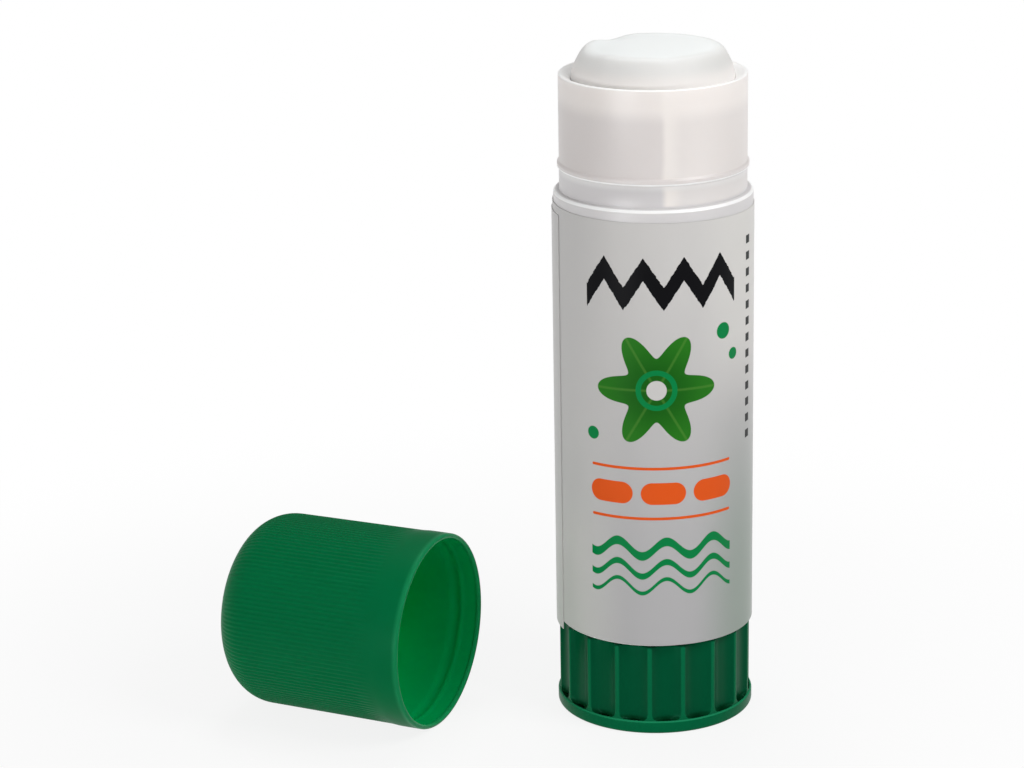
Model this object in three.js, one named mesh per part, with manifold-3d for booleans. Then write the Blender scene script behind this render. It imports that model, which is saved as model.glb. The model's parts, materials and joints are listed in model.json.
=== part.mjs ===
// A twist-up glue stick standing on its base knob, with its cap lying beside it.
// Millimetres, +Z up, origin at the middle of the knob's standing face, front towards -Y.

import * as THREE from 'three';
import { mergeVertices } from 'three/addons/utils/BufferGeometryUtils.js';
import Module from 'manifold-3d';

const wasm = await Module();
wasm.setup();

// Barrel
const body_diameter = 30.0;
const shoulder_height = 81.6;
const shoulder_step = 1.05;
const shoulder_round = 0.7;
const neck_length = 17.3;
const neck_wall = 1.05;
const rim_round = 0.45;
const bead_above_shoulder = 3.8;
const bead_width = 1.3;
const bead_crest_width = 0.65;
const bead_rise = 0.28;
const web_thickness = 1.2;
const foot_wall = 1.65;
const foot_bevel = 0.3;
const key_rise = 0.35;
const key_width = 1.6;
const key_root = 0.5;
const key_end_below_rim = 4.5;

// Label
const label_thickness = 0.1;
const label_below_shoulder = 1.6;
const label_above_foot = 0.5;
const label_skew = 1.3;
const label_lap = 30;
const label_seam = -67.5;

// Base knob
const knob_height = 13.9;
const flange_thickness = 2.0;
const flange_round = 0.5;
const flange_bevel = 0.25;
const grip_inset = 0.3;
const flute_count = 18;
const flute_depth = 0.85;
const flute_corner = 1.0;
const ridge_width = 0.55;
const ridge_azimuth = -3;
const spigot_length = 3.4;
const knob_wall = 1.3;
const knob_floor = 1.8;
const socket_wall = 1.6;

// Feed screw
const thread_lead = 5.0;
const thread_core_radius = 3.1;
const thread_rise = 0.9;
const thread_foot_width = 2.0;
const thread_crest_width = 1.0;
const screw_tip_below_rim = 9.5;
const shank_radius = 3.6;
const stub_radius = 3.0;
const collar_radius = 6.5;
const collar_thickness = 1.2;

// Carrier and glue
const glue_above_rim = 4.0;
const glue_top_radius = 9.9;
const glue_edge_radius = 10.6;
const glue_edge_drop = 0.6;
const glue_wind_down = 6.0;
const cup_depth = 7.5;
const cup_wall = 1.0;
const cup_floor = 1.5;
const cup_bevel = 0.3;
const hub_radius = 6.2;
const hub_height = 10.0;

// Cap
const cap_length = 32.4;
const cap_band_length = 4.9;
const cap_end_wall = 1.4;
const cap_corner = 6.4;
const cap_corner_wall = 1.2;
const cap_draft = 0.1;
const rib_count = 132;
const rib_depth = 0.2;
const rib_inset = 0.1;
const rib_start_length = 0.4;
const rib_fade_end = 58;
const end_crown = 76;
const mouth_bevel = 0.3;
const lip_radius = 14.2;
const lip_thickness = 0.55;
const snap_ledge = 0.25;
const snap_bite = 0.08;

// Where the cap lies: the middle of its mouth, and how far its mouth is turned to the front
const cap_mouth_x = -32.5;
const cap_mouth_y = -10.8;
const cap_turn = 22;

// Clearances between neighbours
const film_gap = 0.03;
const running_gap = 0.3;
const carrier_gap = 0.25;
const glue_key_gap = 0.2;
const thread_gap = 0.25;
const cap_neck_gap = 0.15;
const floor_gap = 0.01;

// Facets round a circle
const round_facets = 48;
const small_facets = 24;
const pocket_facets = 36;
const thread_facets = 14;
const cap_facets = 88;
const flute_facets = 6;
const flute_corner_steps = 3;
const rib_fade_rings = 3;

// Radii and heights that follow from the sizes above
const body_radius = body_diameter / 2;
const tube_radius = body_radius - label_thickness - film_gap;
const neck_radius = body_radius - shoulder_step;
const bore_radius = neck_radius - neck_wall;
const rim_height = shoulder_height + neck_length;
const foot_height = knob_height + running_gap;
const foot_bore_radius = tube_radius - foot_wall;
const spigot_radius = foot_bore_radius - running_gap;
const knob_top = knob_height + spigot_length;
const web_bottom = knob_top + running_gap;
const web_top = web_bottom + web_thickness;
const web_hole_radius = shank_radius + running_gap * 2;
const collar_bottom = web_top + running_gap;
const collar_top = collar_bottom + collar_thickness;
const screw_tip = rim_height - screw_tip_below_rim;
const thread_crest_radius = thread_core_radius + thread_rise;
const key_radius = bore_radius - key_rise;
const carrier_radius = bore_radius - carrier_gap;
const glue_radius = key_radius - glue_key_gap;
const glue_top = rim_height + glue_above_rim;
const carrier_bottom = collar_top + running_gap + glue_wind_down;
const cup_floor_top = carrier_bottom + cup_floor;
const glue_foot = cup_floor_top + running_gap;
const cup_rim = cup_floor_top + cup_depth;
const cup_bore_radius = carrier_radius - cup_wall;
const hub_top = carrier_bottom + hub_height;
const grip_radius = body_radius - grip_inset;

function radians(degrees) {
  return degrees * Math.PI / 180;
}

// A point at a height, at an azimuth counted from the front towards the right
function round_point(radius, azimuth, height) {
  return new THREE.Vector3(radius * Math.sin(azimuth), -radius * Math.cos(azimuth), height);
}

// Solids and surfaces

function signed_volume(positions, triangles) {
  const a = new THREE.Vector3();
  const b = new THREE.Vector3();
  const c = new THREE.Vector3();
  let volume = 0;
  for (let i = 0; i < triangles.length; i += 3) {
    a.fromArray(positions, triangles[i] * 3);
    b.fromArray(positions, triangles[i + 1] * 3);
    c.fromArray(positions, triangles[i + 2] * 3);
    volume += a.dot(b.cross(c)) / 6;
  }
  return volume;
}

function solid_from(positions, triangles) {
  const outward = signed_volume(positions, triangles) > 0;
  const turned_triangles = outward ? triangles : triangles.slice().reverse();
  return new wasm.Manifold(new wasm.Mesh({
    numProp: 3,
    vertProperties: new Float32Array(positions),
    triVerts: new Uint32Array(turned_triangles),
  }));
}

function solid_of(geometry) {
  const bare = geometry.clone();
  bare.deleteAttribute('normal');
  bare.deleteAttribute('uv');
  const merged = mergeVertices(bare);
  const triangles = [];
  for (let i = 0; i < merged.index.count; i += 3) {
    const corners = [0, 1, 2].map((k) => merged.index.getX(i + k));
    if (new Set(corners).size === 3) {
      triangles.push(...corners);
    }
  }
  return solid_from(Array.from(merged.attributes.position.array), triangles);
}

function geometry_of(solid) {
  const mesh = solid.getMesh();
  const geometry = new THREE.BufferGeometry();
  geometry.setAttribute('position', new THREE.BufferAttribute(new Float32Array(mesh.vertProperties), 3));
  geometry.setIndex(Array.from(mesh.triVerts));
  geometry.computeVertexNormals();
  return geometry;
}

// A solid of revolution about Z, from a path of radius and height
function turned(path, facets, arc_steps = 2) {
  const geometry = new THREE.LatheGeometry(path.getPoints(arc_steps), facets);
  geometry.rotateX(Math.PI / 2);
  return solid_of(geometry);
}

function cylinder(radius, bottom, top, facets) {
  const path = new THREE.Path();
  path.moveTo(0, bottom);
  path.lineTo(radius, bottom);
  path.lineTo(radius, top);
  path.lineTo(0, top);
  return turned(path, facets);
}

function block(width, depth, bottom, top, x, y) {
  const geometry = new THREE.BoxGeometry(width, depth, top - bottom);
  geometry.translate(x, y, (bottom + top) / 2);
  return solid_of(geometry);
}

// A closed surface over rings of points, from a pole or ring at one end to one at the other
function skinned(rings) {
  const positions = rings.flat().flatMap((point) => point.toArray());
  const triangles = [];
  let start = 0;
  for (let k = 0; k + 1 < rings.length; k += 1) {
    const lower = rings[k].length;
    const upper = rings[k + 1].length;
    const next = start + lower;
    const lower_steps = lower === 1 ? 0 : lower;
    const upper_steps = upper === 1 ? 0 : upper;
    let i = 0;
    let j = 0;
    while (i < lower_steps || j < upper_steps) {
      const here_low = start + i % lower;
      const here_up = next + j % upper;
      const low_is_next = upper_steps === 0 || (i + 1) * upper <= (j + 1) * lower;
      if (i < lower_steps && (low_is_next || j >= upper_steps)) {
        i += 1;
        triangles.push(here_low, start + i % lower, here_up);
      } else {
        j += 1;
        triangles.push(here_low, next + j % upper, here_up);
      }
    }
    start = next;
  }
  return solid_from(positions, triangles);
}

// A ring of points whose radius may follow the azimuth
function ring(count, height, radius_at) {
  return Array.from({ length: count }, (_, i) => {
    const azimuth = 2 * Math.PI * i / count;
    return round_point(radius_at(azimuth, i), azimuth, height);
  });
}

// A left-hand threaded rod with its ends cut square; the ridge crosses the front at ridge_height
function threaded_rod(core_radius, crest_radius, foot_width, crest_width, bottom, top, ridge_height) {
  const turns_below = Math.ceil((ridge_height - bottom) / thread_lead) + 1;
  const turns_above = Math.ceil((top - ridge_height) / thread_lead) + 1;
  const steps = (turns_below + turns_above) * thread_facets;
  const positions = [];
  const triangles = [];
  const section = [
    [core_radius, -foot_width / 2],
    [crest_radius, -crest_width / 2],
    [crest_radius, crest_width / 2],
    [core_radius, foot_width / 2],
  ];
  const row = section.length;
  const first_height = ridge_height - turns_below * thread_lead;
  for (let i = 0; i <= steps; i += 1) {
    const azimuth = -2 * Math.PI * i / thread_facets;
    const middle = first_height + thread_lead * i / thread_facets;
    for (const [radius, offset] of section) {
      positions.push(...round_point(radius, azimuth, middle + offset).toArray());
    }
  }
  function quad(a, b, c, d) {
    triangles.push(a, b, c, a, c, d);
  }
  for (let i = 0; i < steps; i += 1) {
    for (let k = 0; k + 1 < row; k += 1) {
      quad(i * row + k, (i + 1) * row + k, (i + 1) * row + k + 1, i * row + k + 1);
    }
    if (i + thread_facets < steps) {
      const above = (i + thread_facets) * row;
      quad(i * row + row - 1, (i + 1) * row + row - 1, above + row, above);
    }
  }
  function close_end(loop, height) {
    const pole = positions.length / 3;
    positions.push(0, 0, height);
    for (let i = 0; i < loop.length; i += 1) {
      triangles.push(pole, loop[(i + 1) % loop.length], loop[i]);
    }
  }
  const low_loop = [];
  const high_loop = [];
  for (let i = 0; i <= thread_facets; i += 1) {
    low_loop.push(i * row);
    high_loop.push((steps - i) * row + row - 1);
  }
  for (let k = row - 1; k > 0; k -= 1) {
    low_loop.push(k);
    high_loop.push(steps * row + row - 1 - k);
  }
  const half_lead = thread_lead / 2;
  close_end(low_loop, first_height + half_lead);
  close_end(high_loop, first_height + thread_lead * steps / thread_facets - half_lead);
  const rod = solid_from(positions, triangles);
  return rod.intersect(cylinder(crest_radius * 2, bottom, top, small_facets));
}

// Barrel: foot, tube, shoulder, neck with its snap bead, rim, bore and the web that the screw passes

function barrel() {
  const bead_middle = shoulder_height + bead_above_shoulder;
  const bead_half = bead_width / 2;
  const crest_half = bead_crest_width / 2;
  const path = new THREE.Path();
  path.moveTo(foot_bore_radius, foot_height);
  path.lineTo(tube_radius - foot_bevel, foot_height);
  path.lineTo(tube_radius, foot_height + foot_bevel);
  path.lineTo(tube_radius, shoulder_height - shoulder_round);
  path.absarc(tube_radius - shoulder_round, shoulder_height - shoulder_round, shoulder_round, 0, Math.PI / 2);
  path.lineTo(neck_radius, shoulder_height);
  path.lineTo(neck_radius, bead_middle - bead_half);
  path.lineTo(neck_radius + bead_rise, bead_middle - crest_half);
  path.lineTo(neck_radius + bead_rise, bead_middle + crest_half);
  path.lineTo(neck_radius, bead_middle + bead_half);
  path.lineTo(neck_radius, rim_height - rim_round);
  path.absarc(neck_radius - rim_round, rim_height - rim_round, rim_round, 0, Math.PI / 2);
  path.lineTo(bore_radius, rim_height - rim_round);
  path.lineTo(bore_radius, web_top);
  path.lineTo(web_hole_radius, web_top);
  path.lineTo(web_hole_radius, web_bottom);
  path.lineTo(foot_bore_radius, web_bottom);
  path.lineTo(foot_bore_radius, foot_height);
  let tube = turned(path, round_facets, 1);
  for (const side of [-1, 1]) {
    const depth = key_rise + key_root;
    const middle = side * (key_radius + depth / 2);
    tube = tube.add(block(depth, key_width, web_top - running_gap, rim_height - key_end_below_rim, middle, 0));
  }
  return tube;
}

// Label: one strip of film wound once round the tube, a little askew, with its outer end lapped
// over its inner end at the seam

function label() {
  const facet = 360 / round_facets;
  const inner_radius = tube_radius + film_gap;
  const lapped_radius = inner_radius + label_thickness + film_gap;
  const steps = Math.round((360 + label_lap) / facet);
  const lap_steps = Math.round(label_lap / facet);
  const rings = [];
  for (let i = 0; i <= steps; i += 1) {
    const azimuth = radians(label_seam - (steps - i) * facet);
    const radius = i >= steps - lap_steps ? lapped_radius : inner_radius;
    const drop = label_skew * i / steps;
    const bottom = foot_height + label_above_foot - drop;
    const top = shoulder_height - label_below_shoulder - drop;
    rings.push([
      round_point(radius, azimuth, bottom),
      round_point(radius + label_thickness, azimuth, bottom),
      round_point(radius + label_thickness, azimuth, top),
      round_point(radius, azimuth, top),
    ]);
  }
  function middle_of(section) {
    return [section[0].clone().add(section[2]).multiplyScalar(0.5)];
  }
  return skinned([middle_of(rings[0]), ...rings, middle_of(rings[steps])]);
}

// Base knob: flange, grip with concave flutes between narrow ridges, spigot and hexagonal socket

function base_knob() {
  const pitch = 2 * Math.PI / flute_count;
  const half_width = (pitch * grip_radius - ridge_width) / 2;
  const cutter_radius = (half_width ** 2 + flute_depth ** 2) / (2 * flute_depth);
  const cutter_middle = grip_radius - flute_depth + cutter_radius;
  const half_angle = half_width / grip_radius;

  function flute_radius(angle) {
    const across = cutter_middle * Math.sin(angle);
    const cut = cutter_middle * Math.cos(angle) - Math.sqrt(cutter_radius ** 2 - across ** 2);
    return Math.min(grip_radius, cut);
  }

  // One ring round the flutes and ridges; a share of less than 1 narrows the flutes
  function knob_ring(height, radius_at, width_share = 1) {
    const points = [];
    for (let k = 0; k < flute_count; k += 1) {
      const flute_middle = radians(ridge_azimuth) + (k + 0.5) * pitch;
      for (let i = 0; i <= flute_facets; i += 1) {
        const angle = (2 * i / flute_facets - 1) * half_angle;
        points.push(round_point(radius_at(angle), flute_middle + angle * width_share, height));
      }
    }
    return points;
  }

  // The lower corners of each flute are rounded, so it is narrowest where it meets the flange
  const flute_feet = [];
  for (let k = 0; k <= flute_corner_steps; k += 1) {
    const angle = k / flute_corner_steps * Math.PI / 2;
    const height = flange_thickness + flute_corner * (1 - Math.cos(angle));
    const narrowing = flute_corner * (1 - Math.sin(angle));
    flute_feet.push(knob_ring(height, flute_radius, 1 - narrowing / half_width));
  }

  const rings = [
    [new THREE.Vector3(0, 0, 0)],
    ring(round_facets, 0, () => body_radius - flange_round),
    ring(round_facets, flange_round, () => body_radius),
    ring(round_facets, flange_thickness - flange_bevel, () => body_radius),
    knob_ring(flange_thickness, () => body_radius - flange_bevel),
    ...flute_feet,
    knob_ring(knob_height, flute_radius),
    [new THREE.Vector3(0, 0, knob_height)],
  ];

  const socket_flats = stub_radius + running_gap / Math.cos(Math.PI / 6);
  const pocket = new THREE.Path();
  pocket.moveTo(socket_flats + socket_wall, knob_floor);
  pocket.lineTo(spigot_radius - knob_wall, knob_floor);
  pocket.lineTo(spigot_radius - knob_wall, knob_top + running_gap);
  pocket.lineTo(socket_flats + socket_wall, knob_top + running_gap);
  pocket.lineTo(socket_flats + socket_wall, knob_floor);

  return skinned(rings)
    .add(cylinder(spigot_radius, knob_floor, knob_top, round_facets))
    .subtract(turned(pocket, pocket_facets))
    .subtract(cylinder(socket_flats, knob_floor, knob_top + running_gap, 6));
}

// Feed screw: hexagonal stub in the knob's socket, shank through the web, collar above it, thread

function feed_screw() {
  const path = new THREE.Path();
  path.moveTo(0, knob_top);
  path.lineTo(shank_radius, knob_top + running_gap / 2);
  path.lineTo(shank_radius, collar_bottom);
  path.lineTo(collar_radius, collar_bottom);
  path.lineTo(collar_radius, collar_top);
  path.lineTo(0, collar_top);
  return threaded_rod(
    thread_core_radius,
    thread_crest_radius,
    thread_foot_width,
    thread_crest_width,
    collar_top - collar_thickness / 2,
    screw_tip,
    carrier_bottom,
  )
    .add(turned(path, small_facets))
    .add(cylinder(stub_radius, knob_floor + running_gap, knob_top + running_gap, 6));
}

// Carrier: cup for the glue's foot, threaded hub on the screw and slots on the barrel's keys

function carrier() {
  const path = new THREE.Path();
  path.moveTo(0, carrier_bottom);
  path.lineTo(carrier_radius - cup_bevel, carrier_bottom);
  path.lineTo(carrier_radius, carrier_bottom + cup_bevel);
  path.lineTo(carrier_radius, cup_rim);
  path.lineTo(cup_bore_radius, cup_rim);
  path.lineTo(cup_bore_radius, cup_floor_top);
  path.lineTo(hub_radius, cup_floor_top);
  path.lineTo(hub_radius, hub_top);
  path.lineTo(0, hub_top);
  const tapped_hole = threaded_rod(
    thread_core_radius + thread_gap,
    thread_crest_radius + thread_gap,
    thread_foot_width + thread_gap * 2,
    thread_crest_width + thread_gap * 2,
    carrier_bottom - running_gap,
    hub_top + running_gap,
    carrier_bottom,
  );
  let cup = turned(path, round_facets).subtract(tapped_hole);
  for (const side of [-1, 1]) {
    const slot_depth = carrier_gap * 2 + key_rise;
    const slot_middle = side * (key_radius - carrier_gap + slot_depth / 2);
    const slot_width = key_width + carrier_gap * 2;
    cup = cup.subtract(
      block(slot_depth, slot_width, carrier_bottom - running_gap, cup_rim + running_gap, slot_middle, 0),
    );
  }
  return cup;
}

// Glue: its foot in the cup, its blind bore over the hub and the screw, and its worn soft top

function glue_core() {
  const hub_hole = hub_radius + running_gap;
  const hub_hole_top = hub_top + running_gap;
  const bore_hole = thread_crest_radius + running_gap;
  const bore_end = screw_tip + glue_wind_down + running_gap;
  const path = new THREE.Path();
  path.moveTo(hub_hole, glue_foot);
  path.lineTo(cup_bore_radius - running_gap, glue_foot);
  path.lineTo(cup_bore_radius - running_gap, cup_rim + running_gap);
  path.lineTo(glue_radius, cup_rim + running_gap);
  path.lineTo(glue_radius, rim_height - glue_edge_drop);
  path.quadraticCurveTo(glue_radius, rim_height + glue_edge_drop, glue_edge_radius, glue_top - glue_edge_drop);
  path.quadraticCurveTo(glue_edge_radius - glue_edge_drop / 2, glue_top, glue_top_radius, glue_top);
  path.lineTo(0, glue_top);
  path.lineTo(0, bore_end + running_gap);
  path.lineTo(bore_hole, bore_end);
  path.lineTo(bore_hole, hub_hole_top);
  path.lineTo(hub_hole, hub_hole_top);
  path.lineTo(hub_hole, glue_foot);
  return turned(path, round_facets, 3);
}

// Cap: plain band at the mouth, fine ribs that fade on the rounded end, and the snap groove inside.
// It is made standing on its mouth.

function cap() {
  const rib_columns = rib_count * 2;
  const band_radius = body_radius;
  const crest_radius = band_radius - rib_inset;
  const corner_radius = crest_radius - cap_draft;
  const corner_start = cap_length - cap_corner;
  const corner_middle = corner_radius - cap_corner;

  function plain_ring(height, radius) {
    return ring(cap_facets, height, () => radius);
  }

  function ribbed_ring(height, radius, depth) {
    return ring(rib_columns, height, (_, i) => radius - (i % 2) * depth);
  }

  // Height and radius on the rounded corner, from 0 degrees at the wall to 90 on the end
  function corner_point(angle) {
    return [
      corner_start + cap_corner * Math.sin(radians(angle)),
      corner_middle + cap_corner * Math.cos(radians(angle)),
    ];
  }

  const outside = [
    plain_ring(0, band_radius - mouth_bevel / 2),
    plain_ring(mouth_bevel, band_radius),
    plain_ring(cap_band_length, band_radius),
    ribbed_ring(cap_band_length + rib_inset, crest_radius, 0),
    ribbed_ring(cap_band_length + rib_inset + rib_start_length, crest_radius, rib_depth),
    ribbed_ring(corner_start, corner_radius, rib_depth),
  ];
  for (let k = 1; k <= rib_fade_rings; k += 1) {
    const share = k / rib_fade_rings;
    const [height, radius] = corner_point(rib_fade_end * share);
    outside.push(ribbed_ring(height, radius, rib_depth * Math.cos(share * Math.PI / 2)));
  }
  outside.push(plain_ring(...corner_point(end_crown)));
  outside.push(plain_ring(cap_length, corner_middle));
  const outer = skinned([[new THREE.Vector3(0, 0, 0)], ...outside, [new THREE.Vector3(0, 0, cap_length)]]);

  const wall_radius = neck_radius + cap_neck_gap;
  const ledge_radius = neck_radius + bead_rise - snap_bite;
  const groove_radius = neck_radius + bead_rise + cap_neck_gap;
  const groove_start = bead_above_shoulder - bead_width / 2;
  const groove_end = bead_above_shoulder + bead_width / 2;
  const inner_corner = cap_corner - cap_corner_wall;
  const path = new THREE.Path();
  path.moveTo(0, -running_gap);
  path.lineTo(lip_radius + mouth_bevel, -running_gap);
  path.lineTo(lip_radius, mouth_bevel);
  path.lineTo(lip_radius, lip_thickness);
  path.lineTo(groove_radius, lip_thickness + snap_ledge);
  path.lineTo(groove_radius, groove_start - snap_ledge);
  path.lineTo(ledge_radius, groove_start);
  path.lineTo(groove_radius, groove_start + snap_ledge);
  path.lineTo(groove_radius, groove_end);
  path.lineTo(wall_radius, groove_end + snap_ledge);
  path.lineTo(wall_radius, neck_length + running_gap);
  path.lineTo(corner_middle + inner_corner, corner_start);
  path.absellipse(
    corner_middle,
    corner_start,
    inner_corner,
    cap_corner - cap_end_wall,
    0,
    Math.PI / 2,
  );
  path.lineTo(0, cap_length - cap_end_wall);
  return outer.subtract(turned(path, round_facets, 2));
}

// Materials and assembly

function plastic(colour, roughness) {
  return new THREE.MeshStandardMaterial({ color: colour, roughness, metalness: 0 });
}

const group = new THREE.Group();

function piece(name, solid, material, parent = group) {
  const mesh = new THREE.Mesh(geometry_of(solid), material);
  mesh.name = name;
  parent.add(mesh);
  return mesh;
}

const green = plastic(0x0a693c, 0.35);
const dark_green = plastic(0x005534, 0.35);
const white = plastic(0xe6e4e0, 0.4);

piece('barrel', barrel(), white);
piece('label', label(), plastic(0xf2f2f0, 0.25));
piece('base_knob', base_knob(), dark_green);
piece('feed_screw', feed_screw(), white);
piece('carrier', carrier(), white);
piece('glue_core', glue_core(), plastic(0xf0f0ea, 0.6));

const lying_cap = new THREE.Group();
lying_cap.position.set(cap_mouth_x, cap_mouth_y, body_radius + floor_gap);
lying_cap.rotation.order = 'ZYX';
lying_cap.rotation.set(0, -Math.PI / 2, radians(-cap_turn));
group.add(lying_cap);
piece('cap', cap(), green, lying_cap);

export default group;
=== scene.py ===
import functools
import json
import math

import bmesh
import bpy
from bpy.props import FloatProperty, FloatVectorProperty, IntProperty, PointerProperty
from mathutils import Matrix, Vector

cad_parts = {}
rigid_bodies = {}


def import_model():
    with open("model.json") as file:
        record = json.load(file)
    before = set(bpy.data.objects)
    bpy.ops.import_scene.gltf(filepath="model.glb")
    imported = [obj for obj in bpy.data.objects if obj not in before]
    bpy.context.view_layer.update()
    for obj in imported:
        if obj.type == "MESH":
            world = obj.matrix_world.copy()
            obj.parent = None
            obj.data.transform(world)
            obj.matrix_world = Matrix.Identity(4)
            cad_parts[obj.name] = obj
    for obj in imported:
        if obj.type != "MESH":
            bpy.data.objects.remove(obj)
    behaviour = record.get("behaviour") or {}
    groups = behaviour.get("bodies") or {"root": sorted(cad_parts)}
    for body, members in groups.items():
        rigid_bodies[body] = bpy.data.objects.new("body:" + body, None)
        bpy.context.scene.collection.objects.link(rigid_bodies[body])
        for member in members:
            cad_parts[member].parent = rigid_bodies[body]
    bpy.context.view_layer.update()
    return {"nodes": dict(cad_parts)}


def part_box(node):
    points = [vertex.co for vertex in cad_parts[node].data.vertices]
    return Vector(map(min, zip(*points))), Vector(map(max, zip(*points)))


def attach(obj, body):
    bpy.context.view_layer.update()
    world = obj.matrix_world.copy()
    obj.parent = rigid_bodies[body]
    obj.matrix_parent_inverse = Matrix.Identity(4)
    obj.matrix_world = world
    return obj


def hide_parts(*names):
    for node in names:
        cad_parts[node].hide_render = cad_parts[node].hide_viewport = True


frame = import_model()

bl_info = {
    "name": "Glue Stick",
    "version": (1, 0, 0),
    "blender": (4, 5, 0),
    "location": "3D View > Sidebar > Glue Stick",
    "description": "Models a twist-up glue stick with its cap off, on the packed frame",
    "category": "Object",
}

MM = 0.001


def box_height(node, end):
    """Lowest (0) or highest (1) point of a frame node, in millimetres."""
    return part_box(node)[end].z / MM


def linear(red, green, blue):
    """A colour written in screen values from 0 to 255, as the shaders read it."""
    def channel(value):
        share = value / 255
        return share / 12.92 if share <= 0.04045 else ((share + 0.055) / 1.055) ** 2.4
    return (channel(red), channel(green), channel(blue), 1.0)


def length(name, description, millimetres, lowest=0.0):
    return FloatProperty(
        name=name, description=description, default=millimetres * MM, min=lowest, unit="LENGTH", precision=5
    )


def angle(name, description, degrees):
    return FloatProperty(name=name, description=description, default=math.radians(degrees), subtype="ANGLE")


def count(name, description, default, lowest, highest):
    return IntProperty(name=name, description=description, default=default, min=lowest, max=highest)


def colour(name, description, *screen_values):
    return FloatVectorProperty(
        name=name, description=description, default=linear(*screen_values), size=4, min=0.0, max=1.0, subtype="COLOR"
    )


# Sizes, in millimetres, and colours that a user would change


class BarrelSettings(bpy.types.PropertyGroup):
    tube_radius: length("Tube radius", "Radius of the tube under the label", 14.87)
    neck_radius: length("Neck radius", "Radius of the neck that the cap slides over", 13.95)
    bore_radius: length("Bore radius", "Radius of the hole that holds the glue", 12.9)
    foot: length("Foot height", "Height of the tube's lower edge", box_height("barrel", 0))
    shoulder: length("Shoulder height", "Height of the shoulder under the neck", 81.6)
    rim: length("Rim height", "Height of the neck's upper edge", box_height("barrel", 1))
    bead_height: length("Bead height", "Height of the middle of the snap bead", 85.4)
    bead_width: length("Bead width", "Width of the snap bead", 1.3)
    bead_rise: length("Bead rise", "How far the snap bead stands out", 0.28)
    crest_width: length("Crest width", "Width of the rim's flat top", 0.5)
    lip_radius: length("Lip radius", "Radius of the bore at the rim", 12.1)
    sides: count("Sides", "Facets round the tube", 192, 24, 512)
    tone: colour("Colour", "Milky white of the moulded barrel", 220, 214, 212)
    # Painted light: a warmer, brighter white near the rim, standing in for light coming through the neck
    rim_light_tone: colour("Rim colour", "Warmer white near the rim", 242, 236, 232)
    # Painted shade: a greyer, cooler white below the bead, where less light comes through the neck
    under_bead_shade_tone: colour("Foot of the neck", "Cooler white under the bead", 203, 203, 206)
    # Painted reflection: a paler line up the neck, with the neck painted lighter to its right
    neck_sheen_tone: colour("Painted sheen line", "Paler white of the line up the neck", 244, 238, 233)
    # Painted light: a brighter white laid on the shaded underside of the bead, on the shoulder and on the foot
    edge_light_tone: colour("Edges", "Clean white of the bead, shoulder and foot", 240, 239, 238)
    # Painted highlights: the brightest white, in thin lines along the bead, the shoulder, the rim and the lip inside
    # it
    bright_line_tone: colour("Edge lines", "Brightest white, along the edges", 254, 254, 253)


class LabelSettings(bpy.types.PropertyGroup):
    inner_radius: length("Inner radius", "Radius of the film's inner face", 14.9)
    thickness: length("Thickness", "Thickness of the film", 0.1)
    lift: length("Lap lift", "How far the lapped end stands out", 0.13)
    bottom: length("Bottom", "Height of the lower edge at the start", 14.75)
    top: length("Top", "Height of the upper edge at the start", 80.0)
    skew: length("Skew", "How much lower the film ends than it starts", 1.3)
    seam: angle("Seam", "Azimuth of the outer end, from the front to the right", -67.5)
    lap: angle("Lap", "Angle over which the two ends lap", 30)
    steps: count("Steps", "Steps along the film", 260, 48, 720)
    tone: colour("Film", "White of the film", 204, 202, 200)
    # Painted shade: a greyer white low down and high on the left
    shaded_film_tone: colour("Lower film", "Greyer white further down", 180, 179, 180)
    # Painted light: a lighter white high on the right
    lit_film_tone: colour("Upper film", "Painted light, high on the right", 222, 220, 216)
    # Painted shade and a painted green reflection, low on the right
    reflected_shade_tone: colour("Side film", "Green-grey low on the right", 158, 168, 160)
    green: colour("Green print", "Dark green of the printed petals", 20, 92, 16)
    pale_green: colour("Pale green print", "Green at the tips of the petals", 38, 116, 26)
    vein_green: colour("Vein print", "Yellow-green of the petals' veins", 96, 150, 62)
    bright_green: colour("Bright green print", "Second green of the print", 0, 128, 66)
    orange: colour("Orange print", "Orange of the print", 226, 88, 28)
    black: colour("Black print", "Black of the print", 7, 7, 11)


class KnobSettings(bpy.types.PropertyGroup):
    flange_radius: length("Flange radius", "Radius of the flange", 15.0)
    flange_thickness: length("Flange thickness", "Thickness of the flange", 2.0)
    grip_radius: length("Grip radius", "Radius over the ridges", 14.7)
    grip_top: length("Grip top", "Height of the grip's upper face", 13.9)
    spigot_radius: length("Spigot radius", "Radius of the spigot in the barrel's foot", 12.92)
    spigot_top: length("Spigot top", "Height of the spigot", box_height("base_knob", 1))
    flutes: count("Flutes", "Number of flutes", 18, 6, 40)
    flute_depth: length("Flute depth", "Depth of a flute", 0.85)
    ridge_width: length("Ridge width", "Width of the ridge between two flutes", 0.55)
    ridge_azimuth: angle("Ridge azimuth", "Azimuth of one ridge, from the front to the right", -3)
    flute_corner: length("Flute corner", "Corner radius at a flute's foot", 1.0)
    gutter: length("Gutter", "How far the flange dips at a flute's foot", 0.35)
    columns: count("Columns", "Facets across one flute and its ridge", 36, 6, 48)
    tone: colour("Colour", "Dark green of the knob", 0, 78, 47)
    # Painted highlights: a paler green along the ridges' crests and walls
    ridge_sheen_tone: colour("Ridges", "Paler green along the ridges", 6, 102, 64)
    # Painted light: the flange is a paler green than the fluted grip, as it is more openly lit
    flange_light_tone: colour("Flange", "Green of the flange", 2, 98, 60)
    # Painted highlight along the flange's rounded upper edge
    edge_light_tone: colour("Flange edge", "Paler green of the flange's upper edge", 30, 136, 92)
    # Painted shade: the darkest green, in the flutes' feet, where shade falls
    foot_tone: colour("Flute feet", "Darkest green, in the flutes' feet", 0, 58, 30)


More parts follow.
